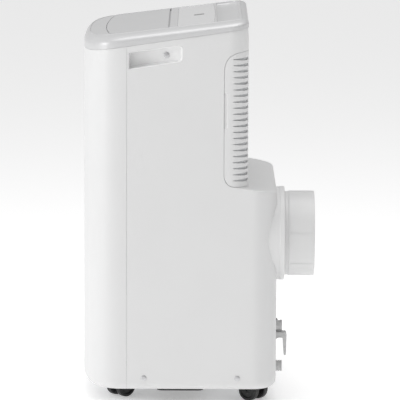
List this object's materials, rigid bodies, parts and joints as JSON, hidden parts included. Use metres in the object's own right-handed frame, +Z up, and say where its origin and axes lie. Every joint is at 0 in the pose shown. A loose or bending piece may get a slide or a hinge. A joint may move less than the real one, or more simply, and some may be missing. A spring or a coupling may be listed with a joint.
{
  "type": "portable air conditioner",
  "caption": "Tall free-standing portable air conditioner on twin-wheel castors, with a top air flap, side handle recesses, rear wrap-round intake grille and round hose outlet.",
  "frame": {"origin": "on the floor, under the middle of the whole box", "axes": "+Z up, -Y front (air flap end), +Y rear (hose outlet end), +X the cabinet's right-hand side seen from behind"},
  "size_m": [0.4388, 0.422, 0.6997],
  "materials": {
    "white_plastic": "fine satin moulded ABS",
    "silver_paint": "satin silver paint",
    "glossy_panel": "gloss pale grey",
    "smoked_window": "gloss smoked black",
    "grey_plastic": "matt grey moulding",
    "black_plastic": "satin black nylon",
    "wheel_plastic": "satin black nylon",
    "bare_steel": "zinc-plated",
    "fin_aluminium": "thin fins",
    "black_enamel": "black enamel",
    "copper": "drawn copper tube"
  },
  "bodies": {
    "cabinet": {"front_cover": "white_plastic", "rear_housing": "white_plastic", "handle_cup_right": "white_plastic", "handle_cup_left": "white_plastic", "cord_hook": "white_plastic", "outlet_ring": "white_plastic", "top_rim": "silver_paint", "top_deck": "silver_paint", "control_panel": "glossy_panel", "display_window": "smoked_window", "base_pan": "grey_plastic", "evaporator_scroll": "grey_plastic", "condenser_scroll": "grey_plastic", "partition_tray": "grey_plastic", "control_box": "grey_plastic", "base_skid": "black_plastic", "cord_gland": "black_plastic", "side_screw_right_1": "bare_steel", "side_screw_right_2": "bare_steel", "side_screw_left_1": "bare_steel", "side_screw_left_2": "bare_steel", "handle_screw_right": "bare_steel", "handle_screw_left": "bare_steel", "evaporator_coil": "fin_aluminium", "condenser_coil": "fin_aluminium", "run_capacitor": "fin_aluminium", "compressor": "black_enamel", "accumulator": "black_enamel", "evaporator_fan_motor": "black_enamel", "condenser_fan_motor": "black_enamel", "flap_motor": "black_enamel", "discharge_pipe": "copper"},
    "flap": {"louver_flap": "silver_paint"},
    "vane_1": {"deflector_vane_1": "grey_plastic"},
    "vane_2": {"deflector_vane_2": "grey_plastic"},
    "vane_3": {"deflector_vane_3": "grey_plastic"},
    "vane_4": {"deflector_vane_4": "grey_plastic"},
    "grille": {"intake_grille": "white_plastic", "air_filter": "grey_plastic"},
    "collar": {"hose_collar": "white_plastic"},
    "upper_drain": {"upper_drain_plug": "white_plastic"},
    "lower_drain": {"lower_drain_cap": "white_plastic"},
    "cool_fan": {"evaporator_fan": "grey_plastic"},
    "heat_fan": {"condenser_fan": "grey_plastic"},
    "front_right_swivel": {"castor_front_right": "black_plastic"},
    "front_right_wheel_1": {"castor_front_right_wheel_1": "wheel_plastic"},
    "front_right_wheel_2": {"castor_front_right_wheel_2": "wheel_plastic"},
    "front_left_swivel": {"castor_front_left": "black_plastic"},
    "front_left_wheel_1": {"castor_front_left_wheel_1": "wheel_plastic"},
    "front_left_wheel_2": {"castor_front_left_wheel_2": "wheel_plastic"},
    "rear_right_swivel": {"castor_rear_right": "black_plastic"},
    "rear_right_wheel_1": {"castor_rear_right_wheel_1": "wheel_plastic"},
    "rear_right_wheel_2": {"castor_rear_right_wheel_2": "wheel_plastic"},
    "rear_left_swivel": {"castor_rear_left": "black_plastic"},
    "rear_left_wheel_1": {"castor_rear_left_wheel_1": "wheel_plastic"},
    "rear_left_wheel_2": {"castor_rear_left_wheel_2": "wheel_plastic"}
  },
  "joints": [
    {"name": "flap_hinge", "type": "hinge", "parent": "cabinet", "child": "flap", "pos_m": [0, -0.0575, 0.68181], "axis": [-1, 0, 0], "range_deg": [0, 75]},
    {"name": "vane_1_pivot", "type": "hinge", "parent": "cabinet", "child": "vane_1", "pos_m": [-0.1125, -0.115, 0.65], "axis": [0, 0, 1], "range_deg": [-40, 40]},
    {"name": "vane_2_pivot", "type": "hinge", "parent": "cabinet", "child": "vane_2", "pos_m": [-0.0375, -0.115, 0.65], "axis": [0, 0, 1], "range_deg": [-40, 40]},
    {"name": "vane_3_pivot", "type": "hinge", "parent": "cabinet", "child": "vane_3", "pos_m": [0.0375, -0.115, 0.65], "axis": [0, 0, 1], "range_deg": [-40, 40]},
    {"name": "vane_4_pivot", "type": "hinge", "parent": "cabinet", "child": "vane_4", "pos_m": [0.1125, -0.115, 0.65], "axis": [0, 0, 1], "range_deg": [-40, 40]},
    {"name": "grille_slide", "type": "slide", "parent": "cabinet", "child": "grille", "axis": [0, 1, 0], "range_m": [0, 0.06]},
    {"name": "collar_slide", "type": "slide", "parent": "cabinet", "child": "collar", "axis": [0, 1, 0], "range_m": [0, 0.05]},
    {"name": "upper_drain_slide", "type": "slide", "parent": "cabinet", "child": "upper_drain", "axis": [0, 1, 0], "range_m": [0, 0.03]},
    {"name": "lower_drain_slide", "type": "slide", "parent": "cabinet", "child": "lower_drain", "axis": [0, 1, 0], "range_m": [0, 0.03]},
    {"name": "cool_fan_spin", "type": "hinge", "parent": "cabinet", "child": "cool_fan", "pos_m": [0, -0.122, 0.495], "axis": [0, 1, 0], "continuous": true},
    {"name": "heat_fan_spin", "type": "hinge", "parent": "cabinet", "child": "heat_fan", "pos_m": [0.118, -0.035, 0.235], "axis": [1, 0, 0], "continuous": true},
    {"name": "front_right_swivel_turn", "type": "hinge", "parent": "cabinet", "child": "front_right_swivel", "pos_m": [0.1206, -0.1306, 0.05], "axis": [0, 0, 1], "continuous": true},
    {"name": "front_right_wheel_1_spin", "type": "hinge", "parent": "front_right_swivel", "child": "front_right_wheel_1", "pos_m": [0.11993, -0.15004, 0.02], "axis": [0.7431, 0.6691, 0], "continuous": true},
    {"name": "front_right_wheel_2_spin", "type": "hinge", "parent": "front_right_swivel", "child": "front_right_wheel_2", "pos_m": [0.14, -0.13197, 0.02], "axis": [0.7431, 0.6691, 0], "continuous": true},
    {"name": "front_left_swivel_turn", "type": "hinge", "parent": "cabinet", "child": "front_left_swivel", "pos_m": [-0.1206, -0.1306, 0.05], "axis": [0, 0, 1], "continuous": true},
    {"name": "front_left_wheel_1_spin", "type": "hinge", "parent": "front_left_swivel", "child": "front_left_wheel_1", "pos_m": [-0.11993, -0.15004, 0.02], "axis": [-0.7431, 0.6691, 0], "continuous": true},
    {"name": "front_left_wheel_2_spin", "type": "hinge", "parent": "front_left_swivel", "child": "front_left_wheel_2", "pos_m": [-0.14, -0.13197, 0.02], "axis": [-0.7431, 0.6691, 0], "continuous": true},
    {"name": "rear_right_swivel_turn", "type": "hinge", "parent": "cabinet", "child": "rear_right_swivel", "pos_m": [0.154, 0.0907, 0.05], "axis": [0, 0, 1], "continuous": true},
    {"name": "rear_right_wheel_1_spin", "type": "hinge", "parent": "rear_right_swivel", "child": "rear_right_wheel_1", "pos_m": [0.15198, 0.11004, 0.02], "axis": [0.788, -0.6157, 0], "continuous": true},
    {"name": "rear_right_wheel_2_spin", "type": "hinge", "parent": "rear_right_swivel", "child": "rear_right_wheel_2", "pos_m": [0.17326, 0.09342, 0.02], "axis": [0.788, -0.6157, 0], "continuous": true},
    {"name": "rear_left_swivel_turn", "type": "hinge", "parent": "cabinet", "child": "rear_left_swivel", "pos_m": [-0.154, 0.0907, 0.05], "axis": [0, 0, 1], "continuous": true},
    {"name": "rear_left_wheel_1_spin", "type": "hinge", "parent": "rear_left_swivel", "child": "rear_left_wheel_1", "pos_m": [-0.15198, 0.11004, 0.02], "axis": [-0.788, -0.6157, 0], "continuous": true},
    {"name": "rear_left_wheel_2_spin", "type": "hinge", "parent": "rear_left_swivel", "child": "rear_left_wheel_2", "pos_m": [-0.17326, 0.09342, 0.02], "axis": [-0.788, -0.6157, 0], "continuous": true}
  ],
  "couplings": [
    {"joint": "vane_2_pivot", "follows": "vane_1_pivot", "ratio": 1},
    {"joint": "vane_3_pivot", "follows": "vane_1_pivot", "ratio": 1},
    {"joint": "vane_4_pivot", "follows": "vane_1_pivot", "ratio": 1}
  ]
}
